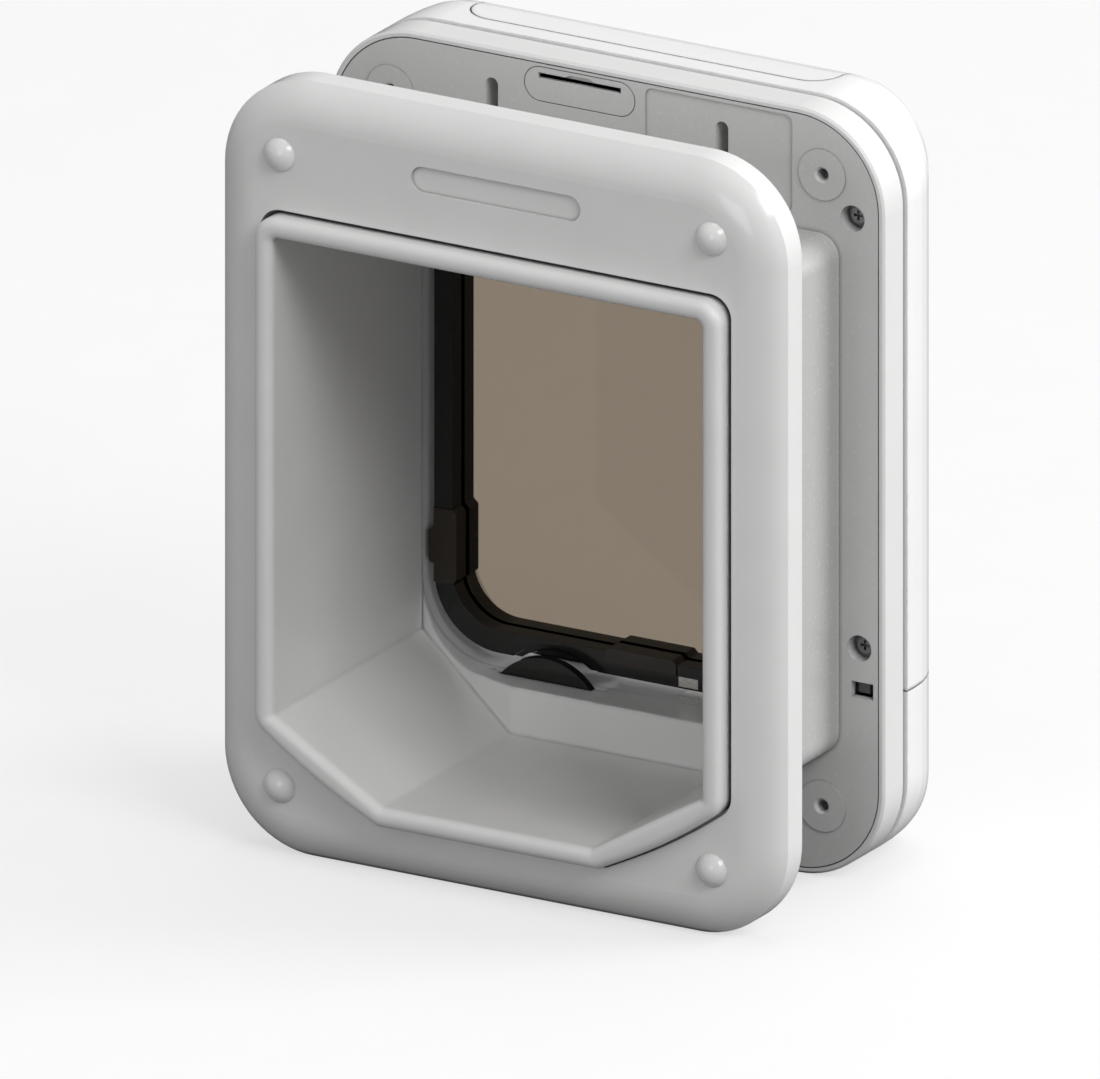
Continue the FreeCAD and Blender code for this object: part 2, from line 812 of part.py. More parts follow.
def make_exterior_frame():
    body = new_body("exterior_frame")
    front = -s.frame_front
    # a larger block is rolled over, then trimmed so that a crisp edge is left at the side wall
    spare = s.pillow_radius - pillow_run(s.pillow_depth)
    blank = new_sketch(body, "frame_blank", at=front)
    outline(blank, frame_outline(-spare))
    pad(body, blank, s.pillow_radius + s.frame_wall)
    fillet(body, "frame_roll", s.pillow_radius, edges_at_y(front))
    trim = new_sketch(body, "frame_trim", at=front)
    outline(trim, frame_outline(0))
    outline(trim, frame_outline(-2 * spare))
    pocket(body, trim, s.pillow_radius + s.frame_wall)
    back = new_sketch(body, "frame_back", at=front + s.frame_depth)
    outline(back, frame_outline(0))
    pocket(body, back, s.pillow_radius)
    loft(body, "frame_hollow", hollow_sections(front + s.frame_wall), cut=True)
    room = new_sketch(body, "frame_room", at=front + s.frame_wall + s.pillow_depth)
    outline(room, frame_outline(s.frame_wall))
    pocket(body, room, s.frame_depth)
    collar = new_sketch(body, "collar", at=front + s.frame_wall / 2)
    outline(collar, outer_tunnel(s.rim_width + s.frame_gap + s.frame_wall))
    pad(body, collar, s.collar_depth)
    for i, (x, z) in enumerate(four_fixings()):
        tip = front - s.dome_rise
        revolve(body, f"boss_{i}", [
            (tip, 0, 0), (tip, s.dome_crown, s.dome_round), (front, s.dome_radius, 0),
            (front + s.frame_wall, s.dome_radius, 0), (front + s.frame_wall, s.boss_radius, 0),
            (front + s.frame_depth - s.fit_gap, s.boss_radius, 0),
            (front + s.frame_depth - s.fit_gap, 0, 0)], x, z)
    pilots = new_sketch(body, "pilots", at=front + s.frame_depth - s.fit_gap - s.pilot_depth)
    for x, z in four_fixings():
        circle(pilots, x, z, s.pilot_radius)
    pocket(body, pilots, s.pilot_depth)
    window = new_sketch(body, "frame_opening", at=front)
    outline(window, outer_tunnel(s.rim_width + s.frame_gap))
    pocket(body, window, s.frame_depth)
    ribs = new_sketch(body, "guide_ribs", at=front + s.frame_wall)
    side = s.tunnel_half_width + s.rim_width + s.fit_gap
    top = s.tunnel_ceiling + s.rim_width + s.fit_gap
    low = -s.tunnel_floor - s.rim_width - s.fit_gap
    thick = s.frame_gap - s.fit_gap + s.frame_wall / 2
    half = s.guide_rib_width / 2
    for sx in (-1, 1):
        for sz in (-1, 1):
            z = sz * s.guide_rib_z
            outline(ribs, box_corners(sx * side, sx * (side + thick), z - half, z + half))
        x = sx * s.guide_rib_x
        outline(ribs, box_corners(x - half, x + half, top, top + thick))
        x = sx * s.fold_half_width / 2
        outline(ribs, box_corners(x - half, x + half, low, low - thick))
    pad(body, ribs, s.collar_depth - s.frame_wall)
    badge = new_sketch(body, "badge_recess", at=front)
    outline(badge, stadium(0, s.badge_z, s.badge_length, s.badge_height))
    pocket(body, badge, s.badge_depth)
    return keep(body)


def rolled_inset(y, rounding):
    # how far an edge of this rounding has rolled in at depth y
    into = max(float(y) - float(s.cover_depth - rounding), 0) / float(rounding)
    return rounding * (1 - math.sqrt(max(1 - into * into, 0)))


def cover_sections(inset):
    # the room-side shell: sides, top and foot roll over with their own radii
    sections = []
    steps = 10
    start = s.cover_depth - s.side_rounding
    for i in range(steps + 1):
        angle = math.pi / 2 * i / steps
        side_inset = s.side_rounding * (1 - math.cos(angle))
        y = start + s.side_rounding * math.sin(angle)
        end_inset = rolled_inset(y, s.end_rounding)
        foot_inset = rolled_inset(y, s.foot_rounding)
        corner = s.casing_corner - (s.casing_corner - s.end_corner) * (1 - math.cos(angle))
        side = s.casing_half_width - side_inset - inset
        high = s.casing_top - end_inset - inset
        low = -s.casing_drop + foot_inset + inset
        sections.append((y - inset * math.sin(angle), box_corners(-side, side, low, high, corner - inset)))
    return sections


def make_cover_shell():
    body = new_body("cover_shell")
    start = s.cover_depth - s.side_rounding
    front = s.ring_depth + s.reveal_gap
    band = new_sketch(body, "cover_band", at=front)
    outline(band, casing_outline(0, s.casing_corner))
    pad(body, band, start - front)
    loft(body, "cover_round", cover_sections(0))
    spigot = new_sketch(body, "spigot", at=s.ring_depth - s.spigot_depth)
    step = s.casing_wall + s.fit_gap
    outline(spigot, casing_outline(step, s.casing_corner - step))
    pad(body, spigot, s.spigot_depth + s.reveal_gap)
    mouth = new_sketch(body, "cover_mouth", at=s.ring_depth - s.spigot_depth)
    wall = s.casing_wall + s.fit_gap + s.cover_wall
    outline(mouth, casing_outline(wall, s.casing_corner - wall))
    pocket(body, mouth, start - s.ring_depth + s.spigot_depth)
    room = new_sketch(body, "cover_room", at=front + s.cover_wall)
    outline(room, casing_outline(s.cover_wall, s.casing_corner - s.cover_wall))
    pocket(body, room, start - front - s.cover_wall)
    loft(body, "cover_hollow", cover_sections(s.cover_wall), cut=True)
    hole = new_sketch(body, "flap_hole", at=start)
    outline(hole, opening_outline(s.bezel_width + s.fit_gap, s.sill_corner + s.bezel_width))
    pocket(body, hole, s.cover_depth)
    return body


def make_covers():
    shell = make_cover_shell()
    far = s.cover_depth * 2
    wide = s.casing_half_width * 2
    lid_body = new_body("lid_prism")
    plan = new_sketch(lid_body, "lid_plan", "XY_Plane", at=s.lid_bottom)
    half = s.lid_half_width
    outline(plan, [(-half, s.lid_front, s.lid_corner), (half, s.lid_front, s.lid_corner),
                   (half, far, 0), (-half, far, 0)])
    pad(lid_body, plan, s.casing_top)
    inner_body = new_body("lid_inner")
    gap = s.seam
    plan = new_sketch(inner_body, "lid_inner_plan", "XY_Plane", at=s.lid_bottom + gap)
    half = s.lid_half_width - gap
    outline(plan, [(-half, s.lid_front + gap, s.lid_corner - gap),
                   (half, s.lid_front + gap, s.lid_corner - gap), (half, far, 0), (-half, far, 0)])
    pad(inner_body, plan, s.casing_top)
    low_block = block("below_seam", -wide, wide, -far, far, -s.casing_drop * 2, -s.lower_seam)
    low_inner = block("below_seam_inner", -wide, wide, -far, far, -s.casing_drop * 2, -s.lower_seam - gap)
    lid = common("battery_lid", [shell, inner_body])
    keep(lid)

    # upper cover with its screw wells and posts
    upper = cut("upper_shell", shell, fuse("upper_cuts", [lid_body, low_block]))
    lower = common("lower_shell", [shell, low_inner])
    wells_up, wells_low, bores, posts_up = [], [], [], []
    for i, (x, z) in enumerate(four_fixings()):
        outer = rod(f"well_{i}", x, s.plate_thickness + s.fit_gap, z, s.well_radius + s.well_wall,
                    s.cover_depth - s.plate_thickness - s.cover_wall)
        (wells_up if float(z) > 0 else wells_low).append(outer)
        bores.append(rod(f"well_bore_{i}", x, 0, z, s.well_radius, far))
    for i, (x, z) in enumerate(casing_screw_places()):
        start = s.cup_depth + s.cup_wall + s.fit_gap
        posts_up.append(rod(f"screw_post_{i}", x, start, z, s.post_radius, s.cover_depth - start))
        bores.append(rod(f"screw_bore_{i}", x, 0, z, s.screw_radius + s.running_gap,
                         s.screw_length + s.cup_depth))
    form = make_cover_form()
    upper_parts = common("upper_details", [fuse("upper_posts", wells_up + posts_up), form])
    lower_parts = common("lower_details", [fuse("lower_posts", wells_low + make_lower_parts()), form])
    bore_tool = fuse("well_bores", bores)
    lower_holes = [
        rod("knob_hole", s.lock_x, 0, -s.lock_drop, s.shaft_radius + s.running_gap, far),
        rod("button_hole", s.button_x, 0, -s.button_drop, s.button_radius + s.fit_gap, far),
        rod("lens_hole", s.button_x, 0, -s.lens_drop, s.lens_radius + s.running_gap, far),
        rod("front_disc_relief", s.lock_x, s.disc_front - s.disc_side_gap, -s.lock_drop,
            s.lug_radius + s.disc_side_gap, s.disc_thickness + 2 * s.disc_side_gap)]
    keep(cut("interior_cover", fuse("upper_whole", [upper, upper_parts]), bore_tool))
    keep(cut("lower_cover", fuse("lower_whole", [lower, lower_parts]),
             fuse("lower_tool", [bore_tool] + lower_holes)))


def make_cover_form():
    # the room-side form as a solid, to trim what stands inside it
    body = new_body("cover_form")
    start = s.cover_depth - s.side_rounding
    band = new_sketch(body, "form_band")
    wall = s.casing_wall + s.fit_gap
    outline(band, casing_outline(wall, s.casing_corner - wall))
    pad(body, band, start)
    loft(body, "form_round", cover_sections(0))
    return body


def make_lower_parts():
    inner = s.cover_depth - s.cover_wall
    return [
        rod("rear_bearing", s.lock_x, inner - s.bearing_length, -s.lock_drop, s.shaft_radius + s.bearing_wall,
            s.bearing_length + s.cover_wall / 2),
        block("solenoid_seat", s.bolt_x - s.solenoid_width / 2, s.bolt_x + s.solenoid_width / 2,
              bolt_y - s.solenoid_length / 2, bolt_y + s.solenoid_length / 2,
              -s.casing_drop + s.casing_wall / 2, -s.casing_drop + 2 * s.cover_wall + s.fit_gap),
        block("switch_seat", s.button_x - s.cell_radius, s.button_x + s.cell_radius,
              s.switch_board_y - s.cover_wall, s.switch_board_y + s.board_thickness + s.cover_wall,
              -s.casing_drop + s.casing_wall / 2, -s.casing_drop + 3 * s.cover_wall),
    ]


flap_middle = s.flap_front + s.flap_thickness / 2
rear_disc_front = s.flap_front + s.flap_thickness + s.rear_disc_gap
front_lug = s.disc_front + s.disc_thickness - s.lug_thickness
bolt_y = s.flap_front + s.flap_thickness + s.latch_setback + s.bolt_depth / 2


def make_flap_surround():
    body = new_body("flap_surround")
    start = s.liner_end + s.surround_step
    end = s.cover_depth + s.bezel_rise
    tube = new_sketch(body, "surround", at=start)
    outline(tube, opening_outline(s.surround_step + s.surround_wall, s.sill_corner + s.surround_wall))
    pad(body, tube, end - start)
    bezel = new_sketch(body, "bezel", at=end - s.bezel_depth)
    outline(bezel, opening_outline(s.bezel_width, s.sill_corner + s.bezel_width))
    pad(body, bezel, s.bezel_depth)
    chamfer(body, "bezel_edge", s.bezel_round, edges_at_y(end))
    for side in (-1, 1):
        boss = new_sketch(body, f"pivot_boss_{side + 1}", "YZ_Plane",
                          at=side * (s.tunnel_half_width + s.surround_step))
        circle(boss, flap_middle, s.hinge_z, s.pivot_boss_radius)
        pad(body, boss, s.pivot_boss_length, along=side > 0)
    bore = new_sketch(body, "surround_bore", at=start)
    outline(bore, opening_outline(s.surround_step, s.sill_corner))
    pocket(body, bore, end - start)
    pivot = new_sketch(body, "pivot_bores", "YZ_Plane")
    circle(pivot, flap_middle, s.hinge_z, s.trunnion_radius + s.running_gap)
    reach = s.flap_half_width + s.trunnion_length + s.fit_gap
    pocket(body, pivot, 2 * reach, middle=True)
    sill = -s.sill_drop - s.surround_step
    cut_disc_slot(body, rear_disc_front, rear_disc_front, sill, s.surround_wall)
    slot = new_sketch(body, "bolt_slot", "XY_Plane", at=sill - s.surround_wall)
    half_width = s.bolt_width / 2 + s.bolt_gap
    half_depth = s.bolt_depth / 2 + s.bolt_gap
    outline(slot, box_corners(s.bolt_x - half_width, s.bolt_x + half_width,
                              bolt_y - half_depth, bolt_y + half_depth))
    pocket(body, slot, s.sill_corner, along=True)
    keeper = new_sketch(body, "keeper_seat", "XY_Plane", at=sill - s.keeper_thickness + s.keeper_rise)
    outline(keeper, keeper_plan())
    pocket(body, keeper, s.sill_corner, along=True)
    return keep(body)


def keeper_plan():
    return box_corners(s.keeper_x - s.keeper_width / 2, s.keeper_x + s.keeper_width / 2,
                       flap_middle - s.keeper_length / 2, flap_middle + s.keeper_length / 2)


def make_sill_keeper():
    body = new_body("sill_keeper")
    plan = new_sketch(body, "keeper", "XY_Plane",
                      at=-s.sill_drop - s.surround_step - s.keeper_thickness + s.keeper_rise)
    outline(plan, keeper_plan())
    pad(body, plan, s.keeper_thickness)
    return keep(body)


def flap_outline(inset, low_inset, corner, top):
    side = s.flap_half_width - inset
    low = -s.flap_bottom + low_inset
    return [(-side, low, corner), (side, low, corner), (side, top, 0), (-side, top, 0)]


def panel_outline():
    inset = s.border_width - s.panel_rebate
    return flap_outline(inset, s.rail_height - s.panel_rebate / 2, s.flap_corner - inset,
                        s.hinge_z - s.barrel_drop + s.panel_rebate)


def make_flap_border():
    body = new_body("flap_border")
    half = s.flap_thickness / 2
    ring = new_sketch(body, "border", at=s.flap_front)
    outline(ring, flap_outline(0, 0, s.flap_corner, s.hinge_z + half))
    pad(body, ring, s.flap_thickness)
    top = s.hinge_z + half
    fillet(body, "barrel_round", half - s.barrel_flat,
           lambda e: all(abs(v.Z - float(top)) < 0.01 for v in e.Vertexes)
           and abs(e.Vertexes[0].X - e.Vertexes[1].X) > 1)
    window = new_sketch(body, "border_window", at=s.flap_front)
    outline(window, flap_outline(s.border_width, s.rail_height, s.flap_corner - s.border_width,
                                 s.hinge_z - s.barrel_drop))
    pocket(body, window, s.flap_thickness)
    rebate = new_sketch(body, "panel_rebate", at=flap_middle - s.panel_thickness / 2)
    outline(rebate, panel_outline())
    pocket(body, rebate, s.panel_thickness)
    clips = new_sketch(body, "clip_notches", at=s.flap_front)
    for side in (-1, 1):
        outline(clips, box_corners(side * (s.flap_half_width - s.border_width - s.clip_inset),
                                   side * s.flap_half_width, s.clip_bottom, s.clip_top))
    foot_top = -s.flap_bottom + s.rail_height
    outline(clips, box_corners(-s.foot_half_width, s.foot_half_width, foot_top - s.rail_height / 2, foot_top))
    pocket(body, clips, s.clip_depth)
    # the rear half carries the clips' and the foot's outlines on behind the panel
    behind = flap_middle + s.panel_thickness / 2
    ribs = new_sketch(body, "rear_ribs", at=behind)
    overlap = s.clip_inset / 2
    for side in (-1, 1):
        inner = s.flap_half_width - s.border_width - s.clip_inset
        corners = clip_inner_corners(inner, inner + s.clip_inset + overlap)
        outline(ribs, [(side * x, z, 0) for x, z in corners])
    half = s.foot_half_width
    top = foot_top + s.foot_rise
    outline(ribs, [(-half, foot_top - overlap, 0), (half, foot_top - overlap, 0),
                   (half, top - s.foot_rise, 0),
                   (half - s.foot_rise, top, 0), (s.foot_rise - half, top, 0), (-half, top - s.foot_rise, 0)])
    pad(body, ribs, s.flap_front + s.flap_thickness - behind)
    arch = new_sketch(body, "disc_arch", at=s.flap_front)
    circle(arch, s.lock_x, -s.lock_drop, s.disc_radius + s.arch_clearance)
    pocket(body, arch, s.flap_thickness)
    magnet = new_sketch(body, "magnet_hole", at=s.flap_front)
    outline(magnet, magnet_outline())
    pocket(body, magnet, s.flap_thickness)
    for side in (-1, 1):
        trunnion = new_sketch(body, f"trunnion_{side + 1}", "YZ_Plane", at=side * s.flap_half_width)
        circle(trunnion, flap_middle, s.hinge_z, s.trunnion_radius)
        pad(body, trunnion, s.trunnion_length, along=side > 0)
    return keep(body)


def clip_inner_corners(inner, outer):
    chamfer_size = s.clip_chamfer
    return [(outer, s.clip_bottom), (outer, s.clip_top), (inner + chamfer_size, s.clip_top),
            (inner, s.clip_top - chamfer_size), (inner, s.clip_bottom + chamfer_size),
            (inner + chamfer_size, s.clip_bottom)]


def magnet_outline():
    low = -s.flap_bottom + s.magnet_lift
    return box_corners(s.magnet_x - s.magnet_width / 2, s.magnet_x + s.magnet_width / 2,
                       low, low + s.magnet_height)


def make_flap_fittings():
    magnet = new_body("flap_magnet")
    section = new_sketch(magnet, "magnet", at=s.flap_front + s.running_gap)
    outline(section, magnet_outline())
    pad(magnet, section, s.flap_thickness - 2 * s.running_gap)
    keep(magnet)

    panel = new_body("flap_panel")
    sheet_face = new_sketch(panel, "panel", at=flap_middle - s.panel_thickness / 2)
    outline(sheet_face, panel_outline())
    pad(panel, sheet_face, s.panel_thickness)
    keep(panel)

    depth = s.clip_depth + s.clip_proud
    for side, label in ((-1, "flap_clip_left"), (1, "flap_clip_right")):
        clip = new_body(label)
        face = new_sketch(clip, label + "_face", at=s.flap_front - s.clip_proud)
        inner = s.flap_half_width - s.border_width - s.clip_inset
        outer = s.flap_half_width
        slope = s.clip_chamfer / 2
        tab = [(outer, s.tab_bottom), (outer + s.tab_width, s.tab_bottom + slope),
               (outer + s.tab_width, s.tab_top - slope), (outer, s.tab_top)]
        edge = clip_inner_corners(inner, outer)
        outline(face, [(side * x, z, 0) for x, z in edge[:1] + tab + edge[1:]])
        pad(clip, face, depth)
        keep(clip)

    foot = new_body("flap_foot")
    face = new_sketch(foot, "foot", at=s.flap_front - s.clip_proud)
    low = -s.flap_bottom + s.rail_height / 2
    high = -s.flap_bottom + s.rail_height + s.foot_rise
    half = s.foot_half_width
    outline(face, [(-half, low, 0), (half, low, 0), (half, high - s.foot_rise, 0),
                   (half - s.foot_rise, high, 0), (s.foot_rise - half, high, 0), (-half, high - s.foot_rise, 0)])
    pad(foot, face, depth)
    keep(foot)


def make_lock():
    for label, front, lug_front, lugs in (
            ("lock_front_disc", s.disc_front, front_lug, (90, 180)),
            ("lock_rear_disc", rear_disc_front, rear_disc_front, (180, 270))):
        body = new_body(label)
        disc = new_sketch(body, label + "_face", at=front)
        circle(disc, s.lock_x, -s.lock_drop, s.disc_radius)
        pad(body, disc, s.disc_thickness)
        for angle in lugs:
            lug = new_sketch(body, f"{label}_lug_{angle}", at=lug_front)
            outline(lug, lug_corners(angle))
            pad(body, lug, s.lug_thickness)
        hole = new_sketch(body, label + "_square", at=front)
        half = s.shaft_square / 2 + s.square_gap
        outline(hole, box_corners(s.lock_x - half, s.lock_x + half, -s.lock_drop - half, -s.lock_drop + half))
        pocket(body, hole, s.disc_thickness)
        keep(body)

    journal = s.riser_y + s.riser_wall + s.running_gap
    inner = s.cover_depth - s.cover_wall - s.bearing_length
    half = s.shaft_square / 2
    knob_front = s.cover_depth + s.fit_gap
    keep(fuse("lock_shaft", [
        rod("front_journal", s.lock_x, journal, -s.lock_drop, s.shaft_radius, s.bearing_length),
        block("drive_square", s.lock_x - half, s.lock_x + half, journal + s.bearing_length, inner,
              -s.lock_drop - half, -s.lock_drop + half),
        rod("rear_journal", s.lock_x, inner, -s.lock_drop, s.shaft_radius, knob_front - inner)]))

    knob = new_body("lock_knob")
    base = new_sketch(knob, "knob_base", at=knob_front)
    circle(base, s.lock_x, -s.lock_drop, s.knob_radius)
    pad(knob, base, s.knob_base)
    grip = new_sketch(knob, "knob_grip", at=knob_front + s.knob_base)
    outline(grip, stadium(s.lock_x, -s.lock_drop, s.knob_grip, 2 * s.knob_radius - 2 * s.knob_rim))
    pad(knob, grip, s.knob_depth - s.knob_base)
    chamfer(knob, "knob_edges", s.knob_round, edges_at_y(knob_front + s.knob_depth))
    keep(knob)


def lug_corners(angle):
    # a low cam on the disc's rim, centred clockwise by angle from the top, seen from outside
    half = math.radians(float(s.lug_angle)) / 2
    middle = math.radians(angle)
    inner, ends = s.disc_radius - s.disc_thickness, s.lug_radius * math.cos(half / 2)
    corners = []
    for radius, turn in ((inner, -half), (ends, -half), (s.lug_radius, -half / 2),
                         (s.lug_radius, half / 2), (ends, half), (inner, half)):
        corners.append((s.lock_x + radius * math.sin(middle + turn),
                        -s.lock_drop + radius * math.cos(middle + turn), 0))
    return corners


def make_latch():
    top = -s.sill_drop - s.bolt_gap
    collar = -s.collar_drop
    solenoid_top = collar - s.bolt_collar - s.fit_gap
    solenoid_low = -s.casing_drop + 2 * s.cover_wall + s.fit_gap
    keep(fuse("latch_bolt", [
        block("bolt_head", s.bolt_x - s.bolt_width / 2, s.bolt_x + s.bolt_width / 2,
              bolt_y - s.bolt_depth / 2, bolt_y + s.bolt_depth / 2, collar, top),
        rod("bolt_collar_disc", s.bolt_x, bolt_y, collar - s.bolt_collar, s.bolt_collar_radius,
            s.bolt_collar, "Z"),
        rod("bolt_rod", s.bolt_x, bolt_y, collar - s.bolt_collar - s.bolt_travel - s.rod_engagement,
            s.rod_radius, s.bolt_travel + s.rod_engagement + s.bolt_collar / 2, "Z")]))
    case = block("solenoid_case", s.bolt_x - s.solenoid_width / 2, s.bolt_x + s.solenoid_width / 2,
                 bolt_y - s.solenoid_length / 2, bolt_y + s.solenoid_length / 2, solenoid_low, solenoid_top)
    keep(cut("latch_solenoid", case, rod("plunger_bore", s.bolt_x, bolt_y, solenoid_low + s.cover_wall,
                                         s.rod_radius + s.fit_gap, s.casing_drop, "Z")))


# left, bottom, width and height of the parts on the circuit board
CHIPS = ((-46, 113, 12, 12), (-22, 109.5, 8, 5), (-11, 119.5, 6, 9), (53, 114.5, 10, 7))


def make_electronics():
    board_back = s.board_y + s.board_thickness
    board = block("board_plate", -s.board_half_width, s.board_half_width, s.board_y, board_back,
                  s.board_bottom, s.board_top)
    chips = [block(f"chip_{i}", x, x + width, board_back, board_back + s.board_thickness, z, z + height)
             for i, (x, z, width, height) in enumerate(CHIPS)]
    keep(fuse("circuit_board", [board] + chips))
    keep(rod("sounder", s.sounder_x, board_back, s.sounder_z, s.sounder_radius, s.sounder_height))

    coil = new_body("antenna_coil")
    ring = new_sketch(coil, "coil", at=s.plate_thickness + s.fit_gap)
    outline(ring, tunnel_outline(s.liner_wall + s.coil_gap + s.coil_width, s.coil_width, s.coil_width))
    pad(coil, ring, s.coil_depth)
    bore = new_sketch(coil, "coil_bore", at=s.plate_thickness + s.fit_gap)
    outline(bore, tunnel_outline(s.liner_wall + s.coil_gap))
    pocket(coil, bore, s.coil_depth)
    keep(coil)

    half_length = s.cell_length + s.contact_thickness * 3 + s.tray_play + s.tray_wall
    half_depth = s.cell_pitch / 2 + s.cell_radius + s.tray_play + s.tray_wall
    floor = s.cell_z - s.cell_radius - s.tray_play
    tray = new_body("battery_tray")
    plan = new_sketch(tray, "tray", "XY_Plane", at=floor - s.tray_wall)
    outline(plan, box_corners(-half_length, half_length, s.cell_y - half_depth, s.cell_y + half_depth,
                              s.tray_wall))
    pad(tray, plan, s.cell_radius * 2)
    room = new_sketch(tray, "tray_room", "XY_Plane", at=floor)
    low, high = s.cell_y - half_depth + s.tray_wall, s.cell_y + half_depth - s.tray_wall
    middle = s.contact_thickness
    for side in (-1, 1):
        outline(room, box_corners(side * middle, side * (half_length - s.tray_wall), low, high))
    pocket(tray, room, s.cell_radius * 2, along=True)
    roof = s.tunnel_ceiling + s.surround_step + s.surround_wall + s.fit_gap
    legs = new_sketch(tray, "tray_legs", "XY_Plane", at=roof)
    for side in (-1, 1):
        x = side * half_length / 2
        outline(legs, box_corners(x - s.tray_wall, x + s.tray_wall, low, high - s.cell_radius))
    pad(tray, legs, floor - s.tray_wall / 2 - roof)
    keep(tray)

    cells, contacts = [], []
    for i, (side, row_side) in enumerate(((-1, -1), (-1, 1), (1, -1), (1, 1))):
        near = s.contact_thickness * 2 + s.tray_play / 2
        start = near if side > 0 else -near - s.cell_length
        y = s.cell_y + row_side * s.cell_pitch / 2
        cells.append(rod(f"cell_{i}", start, y, s.cell_z, s.cell_radius, s.cell_length, "X"))
        x1 = side * middle
        x2 = x1 + side * s.contact_thickness
        lo, hi = (x1, x2) if side > 0 else (x2, x1)
        contacts.append(block(f"middle_contact_{i}", lo, hi, y - s.cell_radius / 2, y + s.cell_radius / 2,
                              floor, s.cell_z + s.cell_radius / 2))
    for side in (-1, 1):
        x2 = side * (half_length - s.tray_wall)
        x1 = x2 - side * s.contact_thickness
        lo, hi = (x1, x2) if side > 0 else (x2, x1)
        reach = s.cell_pitch / 2 + s.cell_radius / 2
        contacts.append(block(f"end_contact_{side + 1}", lo, hi, s.cell_y - reach, s.cell_y + reach,
                              floor, s.cell_z + s.cell_radius / 2))
    keep(fuse("battery_cells", cells))
    keep(fuse("battery_contacts", contacts))

    inner = s.cover_depth - s.cover_wall - s.casing_wall
    flange = inner - s.fit_gap - s.button_flange
    keep(fuse("program_button", [
        rod("button_cap", s.button_x, flange, -s.button_drop, s.button_radius,
            s.cover_depth + s.button_stand - flange),
        rod("button_rim", s.button_x, flange, -s.button_drop, s.button_radius + s.button_rim,
            s.button_flange)]))
    keep(rod("status_lens", s.button_x, s.cover_depth - s.cover_wall, -s.lens_drop, s.lens_radius,
             s.cover_wall + s.fit_gap))
    switch = s.switch_board_y + s.board_thickness
    keep(fuse("switch_board", [
        block("switch_plate", s.button_x - s.cell_radius, s.button_x + s.cell_radius, s.switch_board_y, switch,
              -s.casing_drop + 3 * s.cover_wall, -s.lens_drop + s.cover_wall * 2),
        rod("switch_stem", s.button_x, switch, -s.button_drop, s.lens_radius,
            flange - s.button_travel - s.fit_gap - switch)]))


def make_casing_screws():
    screws = []
    for i, (x, z) in enumerate(casing_screw_places()):
        seat = s.cup_depth
        head = rod(f"screw_head_{i}", x, seat - s.screw_head_height, z, s.screw_head_radius,
                   s.screw_head_height)
        shank = rod(f"screw_shank_{i}", x, seat, z, s.screw_radius, s.screw_length)
        face = seat - s.screw_head_height
        wide, long = s.cross_width / 2, s.cross_length / 2
        cross = fuse(f"cross_{i}", [
            block(f"cross_a_{i}", x - wide, x + wide, face, face + s.cross_depth, z - long, z + long),
            block(f"cross_b_{i}", x - long, x + long, face, face + s.cross_depth, z - wide, z + wide)])
        screws.append(cut(f"screw_{i}", fuse(f"screw_blank_{i}", [head, shank]), cross))
    keep(fuse("casing_screws", screws))


make_door_plate()
make_access_cover()
make_casing_ring()
make_tunnel_liner()
make_exterior_frame()
make_covers()
make_flap_surround()
make_sill_keeper()
make_flap_border()
make_flap_fittings()
make_lock()
make_latch()
make_electronics()
make_casing_screws()

doc.recompute()
for item in doc.Objects:
    if "Invalid" in item.State or "Error" in item.State:
        raise RuntimeError(f"{item.Name} did not build: {item.State}")
for item in nodes:
    if item.Shape.isNull() or not item.Shape.isValid():
        raise RuntimeError(f"{item.Label} has no valid shape")

os.makedirs("parts", exist_ok=True)
for item in nodes:
    item.Shape.exportStep(f"parts/{item.Label}.step")
    print(item.Label, len(item.Shape.Solids), round(item.Shape.Volume))
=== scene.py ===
import math

import bpy
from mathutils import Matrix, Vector


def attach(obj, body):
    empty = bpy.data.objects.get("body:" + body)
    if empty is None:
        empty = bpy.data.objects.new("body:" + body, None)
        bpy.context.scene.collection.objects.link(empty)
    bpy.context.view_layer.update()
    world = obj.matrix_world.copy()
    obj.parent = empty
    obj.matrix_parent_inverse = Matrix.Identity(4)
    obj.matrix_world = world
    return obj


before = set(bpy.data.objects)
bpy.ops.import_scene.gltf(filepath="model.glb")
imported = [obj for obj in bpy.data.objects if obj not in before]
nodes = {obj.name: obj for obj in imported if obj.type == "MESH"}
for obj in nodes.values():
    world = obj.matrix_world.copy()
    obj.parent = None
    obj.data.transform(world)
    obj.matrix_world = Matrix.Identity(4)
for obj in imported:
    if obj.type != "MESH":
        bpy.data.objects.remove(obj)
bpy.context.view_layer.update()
print("frame loaded:", len(nodes), "nodes")

scene = bpy.context.scene


# A node's output, so that an expression on it adds Math nodes.
class Socket:
    def __init__(self, graph, out):
        self.graph = graph
        self.out = out

    def __add__(self, other):
        return self.graph.math("ADD", self, other)

    def __radd__(self, other):
        return self.graph.math("ADD", other, self)

    def __sub__(self, other):
        return self.graph.math("SUBTRACT", self, other)

    def __rsub__(self, other):
        return self.graph.math("SUBTRACT", other, self)

    def __mul__(self, other):
        return self.graph.math("MULTIPLY", self, other)

    def __rmul__(self, other):
        return self.graph.math("MULTIPLY", other, self)

    def __gt__(self, other):
        return self.graph.math("GREATER_THAN", self, other)

    def __lt__(self, other):
        return self.graph.math("LESS_THAN", self, other)


